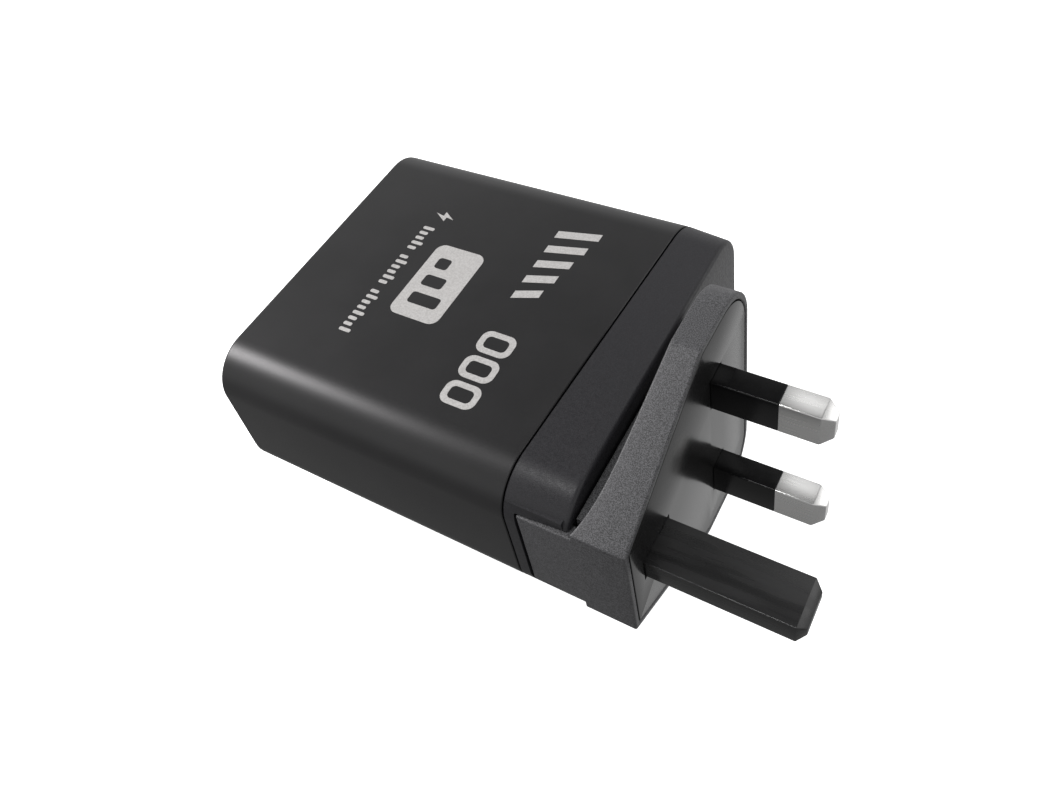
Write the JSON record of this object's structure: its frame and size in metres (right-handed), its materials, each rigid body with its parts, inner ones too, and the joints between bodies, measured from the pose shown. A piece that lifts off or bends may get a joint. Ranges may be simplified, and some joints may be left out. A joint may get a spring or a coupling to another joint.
{
  "type": "laptop power adapter",
  "caption": "Plug-in USB-C laptop power adapter: a flat rounded body whose three-pin British plug head slides off its end face.",
  "frame": {"origin": "on the plug's pin face, midway between the line and neutral pins", "axes": "+X out along the pins, +Y away from the earth pin, +Z towards the printed face"},
  "size_m": [0.0981, 0.062, 0.0486],
  "materials": {
    "satin_black": "satin moulded polycarbonate",
    "textured_black": "fine spark-eroded texture",
    "matte_black": "smooth matte moulding",
    "gloss_black": "gloss black nylon",
    "pin_black": "semi-gloss black nylon",
    "nickel": "satin nickel plating over brass",
    "brass": "bare sheet brass",
    "steel": "deep-drawn stainless steel",
    "epoxy_black": "moulded epoxy",
    "board_green": "solder-masked glass epoxy board",
    "film_grey": "insulating polypropylene film",
    "ferrite": "pressed ferrite, matt",
    "ferrite_coated": "dipped ceramic disc",
    "nylon_cream": "moulded bobbin",
    "tape_yellow": "yellow polyester tape or case",
    "copper": "enamelled or bare copper",
    "capacitor_blue": "dipped blue epoxy",
    "capacitor_black": "sleeved aluminium can",
    "aluminium": "bare aluminium",
    "pad_pink": "soft silicone pad",
    "lead_insulation": "silicone-insulated lead"
  },
  "bodies": {
    "housing": {"ac_blade_line": "brass", "ac_blade_neutral": "brass", "body_sleeve": "satin_black", "bridge_rectifier": "epoxy_black", "bulk_capacitor_1": "capacitor_black", "bulk_capacitor_2": "capacitor_black", "choke_core": "ferrite", "choke_winding_line": "copper", "choke_winding_neutral": "copper", "end_cap": "textured_black", "fuse": "epoxy_black", "heat_spreader": "copper", "insulating_film": "film_grey", "lead_line": "lead_insulation", "lead_neutral": "lead_insulation", "main_board": "board_green", "output_capacitor_1": "aluminium", "output_capacitor_2": "aluminium", "pd_controller": "epoxy_black", "port_panel": "gloss_black", "power_switch": "epoxy_black", "switch_heat_plate": "aluminium", "sync_rectifier": "epoxy_black", "thermal_pad": "pad_pink", "thermistor": "ferrite_coated", "transformer_bobbin": "nylon_cream", "transformer_core_lower": "ferrite", "transformer_core_upper": "ferrite", "transformer_winding": "tape_yellow", "usb_c_shell": "steel", "usb_c_tongue": "epoxy_black", "usb_card": "board_green", "x_capacitor": "tape_yellow", "y_capacitor": "capacitor_blue"},
    "plug_head": {"plug_shell": "textured_black", "pin_plate": "matte_black", "line_pin": "nickel", "neutral_pin": "nickel", "line_pin_sleeve": "gloss_black", "neutral_pin_sleeve": "gloss_black", "earth_pin": "pin_black", "line_contact": "brass", "neutral_contact": "brass"}
  },
  "joints": [
    {"name": "plug_head_slide", "type": "slide", "parent": "housing", "child": "plug_head", "axis": [0, -1, 0], "range_m": [0, 0.045]}
  ]
}
